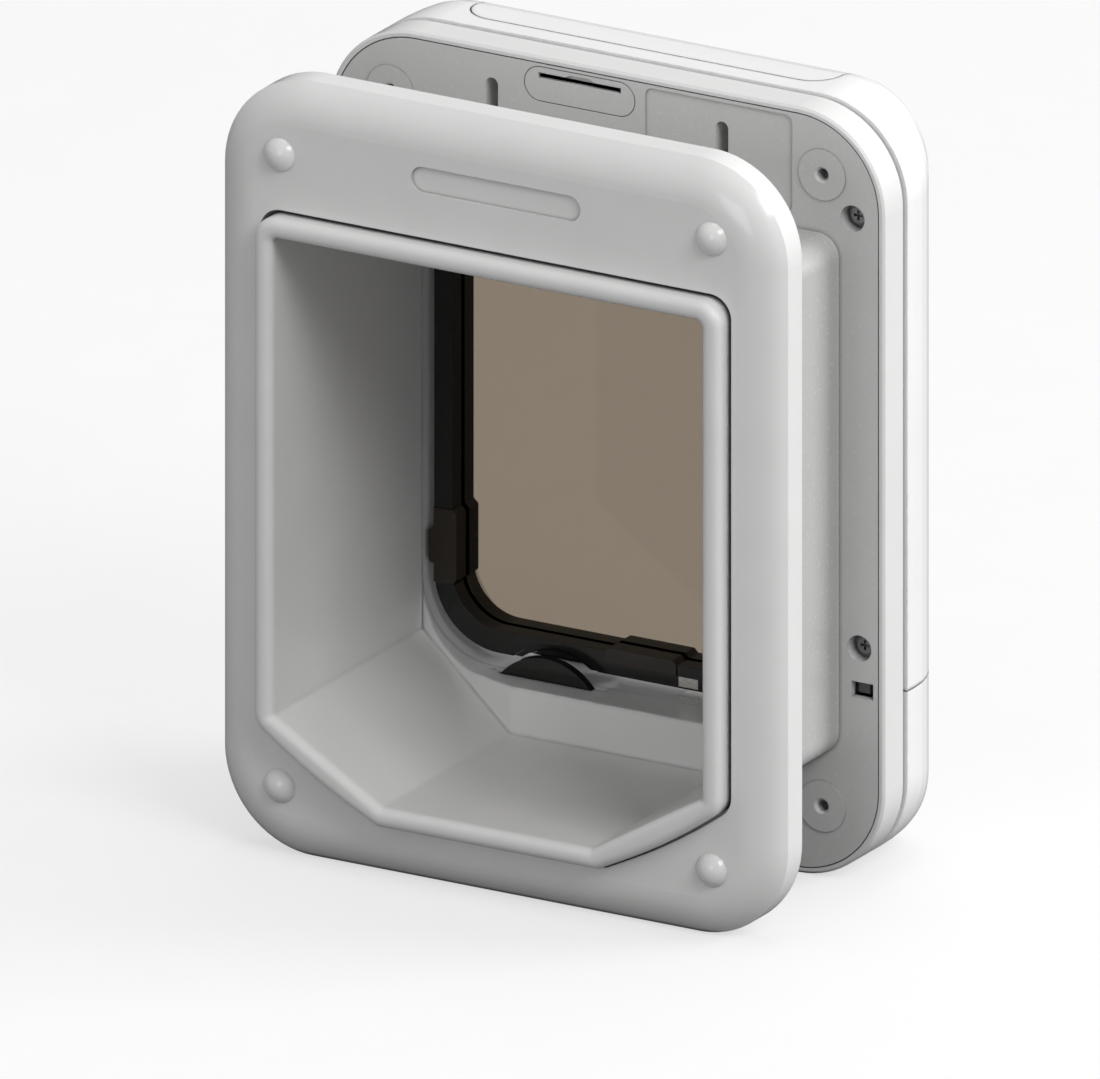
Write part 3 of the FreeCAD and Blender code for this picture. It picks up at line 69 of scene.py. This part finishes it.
class Graph:
    def __init__(self, tree):
        self.tree = tree
        self.coordinates = None
        self.column = 0
        tree.nodes.clear()

    # Any node: its type, its sockets' values or links, and its settings, which are set first.
    def node(self, kind, inputs=None, **settings):
        made = self.tree.nodes.new(kind)
        made.location = (self.column * 40, -(self.column % 7) * 60)
        self.column += 1
        for name, value in settings.items():
            setattr(made, name, value)
        for name, value in (inputs or {}).items():
            self.feed(made.inputs[name], value)
        return made

    def feed(self, target, value):
        if isinstance(value, Socket):
            self.tree.links.new(value.out, target)
        elif isinstance(value, (tuple, list)) and len(value) == 3 and len(target.default_value) == 4:
            target.default_value = (*value, 1.0)
        else:
            target.default_value = value

    def out(self, node, name=0):
        return Socket(self, node.outputs[name])

    def math(self, operation, first, second):
        return self.out(self.node("ShaderNodeMath", {0: first, 1: second}, operation=operation))

    def place(self):
        if self.coordinates is None:
            self.coordinates = self.out(self.node("ShaderNodeTexCoord"), "Object")
        return self.coordinates

    def axes(self):
        split = self.node("ShaderNodeSeparateXYZ", {0: self.place()})
        return [self.out(split, i) for i in range(3)]

    def noise(self, scale, detail=2.0, roughness=0.5):
        return self.out(self.node("ShaderNodeTexNoise", {
            "Vector": self.place(), "Scale": scale, "Detail": detail, "Roughness": roughness}))

    def spread(self, value, low, high, toLow=0.0, toHigh=1.0):
        return self.out(self.node("ShaderNodeMapRange", {
            "Value": value, "From Min": low, "From Max": high, "To Min": toLow, "To Max": toHigh}))

    def occlusion(self, distance):
        return self.out(self.node("ShaderNodeAmbientOcclusion", {"Distance": distance}, samples=6), "AO")

    def blend(self, share, first, second):
        return self.out(self.node("ShaderNodeMix", {0: share, 6: first, 7: second}, data_type="RGBA"), 2)

    # An edge is the radius in metres over which the light on a corner is rounded.
    def bump(self, height, distance, strength=1.0, edge=None):
        inputs = {"Height": height, "Distance": distance, "Strength": strength}
        if edge:
            inputs["Normal"] = self.out(self.node("ShaderNodeBevel", {"Radius": edge}, samples=3))
        return self.out(self.node("ShaderNodeBump", inputs))

    def principled(self, inputs):
        return self.out(self.node("ShaderNodeBsdfPrincipled", inputs))

    def mixShaders(self, share, first, second):
        return self.out(self.node("ShaderNodeMixShader", {0: share, 1: first, 2: second}))

    # 1 where the camera looks at a surface, straight or through the smoked panel.
    def seen(self):
        rays = self.node("ShaderNodeLightPath")
        return self.math("MAXIMUM", self.out(rays, "Is Camera Ray"), self.out(rays, "Is Transmission Ray"))

    def finish(self, surface):
        self.node("ShaderNodeOutputMaterial", {"Surface": surface})


def newMaterial(name):
    material = bpy.data.materials.new(name)
    material.use_nodes = True
    return material, Graph(material.node_tree)


# Moulded plastics: colour, gloss, rounding of the edges' light and reach of the painted shade in grooves.
mouldedValues = {
    "casing": {"colour": (0.80, 0.80, 0.795), "roughness": 0.15, "edge": 0.00045, "crevice": 0.0024},
    # painted shade: the plate is the casing's plastic, given a darker colour for the shade in the gap behind
    # the frame
    "plate": {"colour": (0.66, 0.66, 0.655), "roughness": 0.26, "edge": 0.0004, "crevice": 0.0024,
              "sleevePaintedShade": 0.78, "sleeveY": -0.0015},
    "tunnel": {"colour": (0.78, 0.78, 0.775), "roughness": 0.24, "edge": 0.0028},
    "cover": {"colour": (0.92, 0.92, 0.92), "roughness": 0.20, "edge": 0.0016, "crevice": 0.0024},
    "black": {"colour": (0.008, 0.008, 0.007), "roughness": 0.15, "edge": 0.0005},
    "dark": {"colour": (0.025, 0.025, 0.026), "roughness": 0.5, "edge": 0.0003},
    "former": {"colour": (0.16, 0.16, 0.155), "roughness": 0.45, "edge": 0.0003},
    "dial": {"colour": (0.42, 0.43, 0.44), "roughness": 0.38, "edge": 0.0004},
    "clip": {"colour": (0.022, 0.016, 0.012), "roughness": 0.2, "edge": 0.0004},
    "lens": {"colour": (0.30, 0.02, 0.015), "roughness": 0.15, "edge": 0.0003},
}

# The mould's own grain, the same on every plastic, with the painted shade in grooves. Scales are per metre.
grainValues = {
    "cloud": 38.0, "cloudShade": 0.97,
    "wear": 420.0, "wearLow": 0.02, "wearHigh": 0.03,
    "fine": 300.0, "fineShare": 0.3,
    "swell": 12.0, "swellShare": 8.0, "height": 0.000004,
    "groovePaintedShade": (0.03, 0.03, 0.03), "grooveOpen": (0.3, 0.85), "grooveLeft": 0.3,
    "bend": 1.49,
}


def shaded(colour, share):
    return tuple(part * share for part in colour)


def mouldedPlastic(name):
    values = mouldedValues[name]
    grain = grainValues
    material, graph = newMaterial(name + "Plastic")
    cloud = graph.noise(grain["cloud"], 3.0)
    wear = graph.noise(grain["wear"], 4.0, 0.7)
    base = values["colour"]
    colour = graph.blend(graph.spread(cloud, 0.3, 0.7), shaded(base, grain["cloudShade"]), base)
    if "sleeveY" in values:  # painted shade: the sleeve stands in front of the plate's face, in the gap behind the frame, and is painted a little darker for the shade there
        x, y, z = graph.axes()
        shade = graph.spread(y < values["sleeveY"], 0.0, 1.0, 1.0, values["sleevePaintedShade"])
        colour = graph.blend(shade, (0.0, 0.0, 0.0), colour)
    # painted shade: the colour goes dark in grooves, corners and gaps, where the occlusion finds other
    # surfaces close by
    if "crevice" in values:
        shut, clear = grain["grooveOpen"]
        openShare = graph.spread(graph.occlusion(values["crevice"]), shut, clear, grain["grooveLeft"], 1.0)
        colour = graph.blend(openShare, grain["groovePaintedShade"], colour)
    rough = graph.spread(wear, 0.3, 0.75, values["roughness"] - grain["wearLow"],
                         values["roughness"] + grain["wearHigh"])
    fine = graph.noise(grain["fine"]) * grain["fineShare"]
    swell = graph.noise(grain["swell"], 1.0) * grain["swellShare"]
    normal = graph.bump(fine + swell, grain["height"], 1.0, values["edge"])
    graph.finish(graph.principled({"Base Color": colour, "Roughness": rough, "Normal": normal,
                                   "IOR": grain["bend"], "Specular IOR Level": 0.5}))
    return material


# The panel's tint is what one wall lets through. The sheen is a painted reflection: a faint band on its
# right, where more of the gloss is mixed in.
smokedValues = {
    "tint": (0.556, 0.507, 0.447),
    "gloss": 0.05,
    "glossSpread": 0.05,
    "bend": 1.5,
    "least": 0.03,
    "surface": (0.006, 0.005, 0.004),
    "ripple": 9.0,
    "rippleHeight": 0.00008,
    "dust": 300.0,
    "sheenX": -0.023,
    "sheenSlope": 0.72,
    "sheenLow": -0.0508,
    "sheen": 0.02,
}


def smokedPanel():
    values = smokedValues
    material, graph = newMaterial("smokedPanel")
    clear = graph.out(graph.node("ShaderNodeBsdfTransparent", {"Color": values["tint"]}))
    rough = graph.spread(graph.noise(values["dust"], 3.0), 0.3, 0.7, values["gloss"],
                         values["gloss"] + values["glossSpread"])
    normal = graph.bump(graph.noise(values["ripple"]), values["rippleHeight"])
    gloss = graph.principled({"Base Color": values["surface"], "Roughness": rough, "Normal": normal,
                              "IOR": values["bend"]})
    mirror = graph.out(graph.node("ShaderNodeFresnel", {"IOR": values["bend"], "Normal": normal}))
    x, y, z = graph.axes()
    # painted reflection: right of sheenX and above a slanted line the panel gets more gloss
    sheen = (x > values["sheenX"]) * (z + x * values["sheenSlope"] > values["sheenLow"])
    share = graph.spread(mirror, 0.0, 1.0, values["least"], 1.0) + sheen * values["sheen"]
    graph.finish(graph.mixShaders(share, clear, gloss))
    return material


# Metals: a scale is the grain's, per metre.
metalValues = {
    "bright": {"colour": (0.80, 0.77, 0.73), "roughness": 0.28, "scale": 900.0},
    "zinc": {"colour": (0.26, 0.26, 0.27), "roughness": 0.3, "scale": 500.0},
    "spring": {"colour": (0.58, 0.57, 0.56), "roughness": 0.25, "scale": 1500.0},
    "copper": {"colour": (0.62, 0.27, 0.13), "roughness": 0.32, "scale": 1200.0},
}

platingValues = {
    "stainShare": 12, "stainShade": 0.86, "smoother": 0.08, "rougher": 0.10,
    "height": 0.000012, "strength": 0.6, "edge": 0.0002,
}


def platedMetal(name):
    values = metalValues[name]
    plating = platingValues
    material, graph = newMaterial(name + "Metal")
    stain = graph.noise(values["scale"] / plating["stainShare"], 4.0, 0.6)
    fine = graph.noise(values["scale"], 3.0, 0.7)
    base = values["colour"]
    colour = graph.blend(graph.spread(stain, 0.35, 0.7), shaded(base, plating["stainShade"]), base)
    rough = graph.spread(fine, 0.3, 0.7, values["roughness"] - plating["smoother"],
                         values["roughness"] + plating["rougher"])
    normal = graph.bump(fine, plating["height"], plating["strength"], plating["edge"])
    graph.finish(graph.principled({"Base Color": colour, "Roughness": rough, "Metallic": 1.0,
                                   "Normal": normal}))
    return material


boardValues = {
    "mask": (0.012, 0.085, 0.028), "track": (0.02, 0.14, 0.05), "pitch": 0.0032,
    "acrossWidth": 0.16, "alongWidth": 0.14, "acrossTilt": 0.5, "alongTilt": 0.2,
    "patches": 160.0, "roughness": 0.3, "height": 0.00003, "strength": 0.8,
}


def boardMaterial():
    values = boardValues
    pitch = values["pitch"]
    material, graph = newMaterial("circuitBoard")
    x, y, z = graph.axes()
    across = graph.math("PINGPONG", x + z * values["acrossTilt"], pitch / 2) < pitch * values["acrossWidth"]
    along = graph.math("PINGPONG", z - x * values["alongTilt"], pitch) < pitch * values["alongWidth"]
    patchy = graph.noise(values["patches"], 1.0) > 0.5
    tracks = graph.math("MAXIMUM", across * patchy, along * (1.0 - patchy))
    colour = graph.blend(tracks, values["mask"], values["track"])
    normal = graph.bump(tracks, values["height"], values["strength"])
    graph.finish(graph.principled({"Base Color": colour, "Roughness": values["roughness"], "Normal": normal}))
    return material


# The cells lie along x in two rows: bandX and endX are distances from the middle.
cellValues = {
    "jacket": (0.03, 0.035, 0.045), "end": (0.6, 0.6, 0.6), "band": (0.42, 0.30, 0.16),
    "bandX": 0.040, "endX": 0.0513, "gloss": (0.22, 0.34),
    "grain": 500.0, "dents": 60.0, "height": 0.00003, "strength": 0.5,
}


def cellMaterial():
    values = cellValues
    material, graph = newMaterial("cellJacket")
    x, y, z = graph.axes()
    outward = graph.math("ABSOLUTE", x, 0.0)
    end = outward > values["endX"]
    colour = graph.blend(outward > values["bandX"], values["jacket"], values["band"])
    colour = graph.blend(end, colour, values["end"])
    rough = graph.spread(graph.noise(values["grain"]), 0.3, 0.7, *values["gloss"])
    normal = graph.bump(graph.noise(values["dents"]), values["height"], values["strength"])
    graph.finish(graph.principled({"Base Color": colour, "Roughness": rough, "Metallic": end,
                                   "Normal": normal}))
    return material


casing = mouldedPlastic("casing")
plate = mouldedPlastic("plate")
tunnel = mouldedPlastic("tunnel")
former = mouldedPlastic("former")
cover = mouldedPlastic("cover")
black = mouldedPlastic("black")
dark = mouldedPlastic("dark")
dial = mouldedPlastic("dial")
clip = mouldedPlastic("clip")
lens = mouldedPlastic("lens")
smoked = smokedPanel()
bright = platedMetal("bright")
zinc = platedMetal("zinc")
spring = platedMetal("spring")
copper = platedMetal("copper")
board = boardMaterial()
cells = cellMaterial()

nodeMaterials = {
    "door_plate": plate, "access_cover": plate, "casing_ring": casing, "tunnel_liner": tunnel,
    "exterior_frame": casing, "flap_surround": casing, "interior_cover": cover, "lower_cover": cover,
    "battery_lid": cover, "sill_keeper": bright, "flap_border": black, "flap_panel": smoked,
    "flap_clip_left": clip, "flap_clip_right": clip, "flap_foot": clip, "flap_magnet": bright,
    "lock_front_disc": black, "lock_rear_disc": black, "lock_shaft": black, "lock_knob": dial,
    "latch_bolt": bright, "latch_solenoid": zinc, "circuit_board": board,
    "sounder": dark, "antenna_coil": copper, "battery_tray": dark, "battery_cells": cells,
    "battery_contacts": spring, "program_button": dial, "status_lens": lens, "switch_board": board,
    "casing_screws": zinc,
}
for name, material in nodeMaterials.items():
    mesh = nodes[name].data
    mesh.materials.clear()
    mesh.materials.append(material)
print("materials set:", len(nodeMaterials))


def editAll(mode="FACE"):
    bpy.ops.object.mode_set(mode="EDIT")
    bpy.ops.mesh.select_mode(type=mode)
    bpy.ops.mesh.select_all(action="SELECT")


def pickFaces(piece, test):
    bpy.ops.mesh.select_all(action="DESELECT")
    bpy.ops.object.mode_set(mode="OBJECT")
    for face in piece.data.polygons:
        face.select = test(face)
    bpy.ops.object.mode_set(mode="EDIT")


# Leaves the piece closed, at the origin, and riding on its body.
def closePiece(piece, name, material, body):
    bpy.ops.mesh.select_all(action="SELECT")
    bpy.ops.mesh.normals_make_consistent(inside=False)
    bpy.ops.object.mode_set(mode="OBJECT")
    bpy.ops.object.transform_apply(location=True, rotation=True, scale=True)
    piece.name = name
    piece.data.name = name
    piece.data.materials.append(material)
    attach(piece, body)


lipValues = {
    "centre": (-0.0356, -0.1168),  # the lock's axis, x and z
    "inner": 0.0244,
    "outer": 0.0263,
    "low": -0.0970,                # the lip is cut off below this
    "front": 0.0253,
    "depth": 0.0008,
    "corners": 128,
    "smooth": 30,
}


def draughtLip():
    values = lipValues
    x, z = values["centre"]
    bpy.ops.object.select_all(action="DESELECT")
    bpy.ops.mesh.primitive_circle_add(vertices=values["corners"], radius=values["outer"], fill_type="NGON",
                                      location=(x, values["front"], z), rotation=(math.pi / 2, 0, 0))
    piece = bpy.context.active_object
    bpy.ops.object.transform_apply(location=True, rotation=True, scale=True)
    editAll()
    bpy.ops.mesh.inset(thickness=values["outer"] - values["inner"], depth=0)
    pickFaces(piece, lambda face: len(face.vertices) > 4)  # the round middle
    bpy.ops.mesh.delete(type="FACE")
    bpy.ops.mesh.select_all(action="SELECT")
    bpy.ops.mesh.bisect(plane_co=(x, values["front"], values["low"]), plane_no=(0, 0, -1), clear_outer=True)
    bpy.ops.mesh.select_all(action="SELECT")
    bpy.ops.mesh.extrude_region_move(TRANSFORM_OT_translate={"value": (0, values["depth"], 0)})
    closePiece(piece, "draughtLip", black, "flap")
    bpy.ops.object.shade_smooth_by_angle(angle=math.radians(values["smooth"]))


formerValues = {
    "low": (0.1030, 0.0042, -0.0768),
    "high": (0.1081, 0.0066, -0.0716),
    "edge": 0.0004,
    "segments": 2,
}


def coilFormer():
    values = formerValues
    low, high = Vector(values["low"]), Vector(values["high"])
    bpy.ops.object.select_all(action="DESELECT")
    bpy.ops.mesh.primitive_cube_add(size=1, location=(low + high) / 2, scale=high - low)
    piece = bpy.context.active_object
    bpy.ops.object.transform_apply(location=True, rotation=True, scale=True)
    editAll("EDGE")
    bpy.ops.mesh.bevel(offset=values["edge"], segments=values["segments"])
    closePiece(piece, "coilFormer", former, "casing")


draughtLip()
coilFormer()
print("pieces added: 2")


def aim(item, target):
    item.rotation_euler = (Vector(target) - item.location).to_track_quat("-Z", "Y").to_euler()


# The photo was taken from far off, so the camera has no perspective. Width is the picture's.
cameraValues = {
    "azimuth": 30.1,
    "elevation": 19.65,
    "distance": 3.0,
    "width": 0.39875,
    "target": (-0.0236, 0.0, -0.0394),
    "near": 0.01,
    "far": 20.0,
}


def photoCamera():
    values = cameraValues
    azimuth = math.radians(values["azimuth"])
    elevation = math.radians(values["elevation"])
    back = Vector((math.sin(azimuth) * math.cos(elevation), -math.cos(azimuth) * math.cos(elevation),
                   math.sin(elevation)))
    data = bpy.data.cameras.new("photoCamera")
    data.type = "ORTHO"
    data.ortho_scale = values["width"]
    data.clip_start = values["near"]
    data.clip_end = values["far"]
    camera = bpy.data.objects.new("photoCamera", data)
    scene.collection.objects.link(camera)
    camera.location = Vector(values["target"]) + back * values["distance"]
    aim(camera, values["target"])
    scene.camera = camera


# Square soft lamps, all aimed at the middle: place and size in metres, power in watts.
lampValues = {
    "sideBack": {"place": (3.4, 2.2, 1.4), "size": 2.0, "power": 118.0},
    "steepKey": {"place": (3.2, -1.6, 3.0), "size": 1.8, "power": 80.0},
    "frontFill": {"place": (0.2, -4.4, 1.0), "size": 1.8, "power": 23.0},
    "topFill": {"place": (0.2, 0.5, 4.2), "size": 2.6, "power": 42.0},
}


def softLamp(name):
    values = lampValues[name]
    data = bpy.data.lights.new(name, "AREA")
    data.size = values["size"]
    data.energy = values["power"]
    lamp = bpy.data.objects.new(name, data)
    scene.collection.objects.link(lamp)
    lamp.location = values["place"]
    aim(lamp, (0, 0, 0))


worldValues = {
    "ambient": 0.40,                  # what lights the object
    "ambientColour": (1.0, 1.0, 1.0),
    "backdrop": (0.955, 0.955, 0.955),  # what is seen behind it
}


def studioWorld():
    values = worldValues
    world = bpy.data.worlds.new("studio")
    world.use_nodes = True
    scene.world = world
    graph = Graph(world.node_tree)
    seen = graph.seen()
    ambient = graph.out(graph.node("ShaderNodeBackground", {
        "Color": values["ambientColour"], "Strength": values["ambient"]}))
    shown = graph.out(graph.node("ShaderNodeBackground", {"Color": values["backdrop"], "Strength": 1.0}))
    graph.node("ShaderNodeOutputWorld", {"Surface": graph.mixShaders(seen, ambient, shown)})


# The floor glows for the camera, so that it is near white and keeps the shadow, and is dull for the object.
floorValues = {
    "level": -0.1492,
    "size": 6.0,
    "colour": (0.36, 0.36, 0.36),
    "glow": (0.60, 0.60, 0.60),
    "bounce": (0.19, 0.19, 0.19),
    "grain": 30.0,
    "grainShade": 0.98,
    "pores": 800.0,
    "poreDepth": 0.00002,
    "roughness": 0.8,
    "specular": 0.1,
}


def studioFloor():
    values = floorValues
    bpy.ops.object.select_all(action="DESELECT")
    bpy.ops.mesh.primitive_plane_add(size=values["size"], location=(0, 0, values["level"]))
    floor = bpy.context.active_object
    floor.name = "studioFloor"
    material, graph = newMaterial("studioFloor")
    shade = graph.blend(graph.spread(graph.noise(values["grain"]), 0.3, 0.7), values["colour"],
                        shaded(values["colour"], values["grainShade"]))
    normal = graph.bump(graph.noise(values["pores"]), values["poreDepth"])
    dull = {"Roughness": values["roughness"], "Specular IOR Level": values["specular"]}
    shown = graph.principled({"Base Color": shade, "Normal": normal, "Emission Color": values["glow"],
                              "Emission Strength": 1.0, **dull})
    bounce = graph.principled({"Base Color": values["bounce"], **dull})
    graph.finish(graph.mixShaders(graph.seen(), bounce, shown))
    floor.data.materials.append(material)


photoCamera()
for name in lampValues:
    softLamp(name)
studioWorld()
studioFloor()
print("stage set:", len(lampValues), "lamps")

scene.view_settings.view_transform = "Standard"
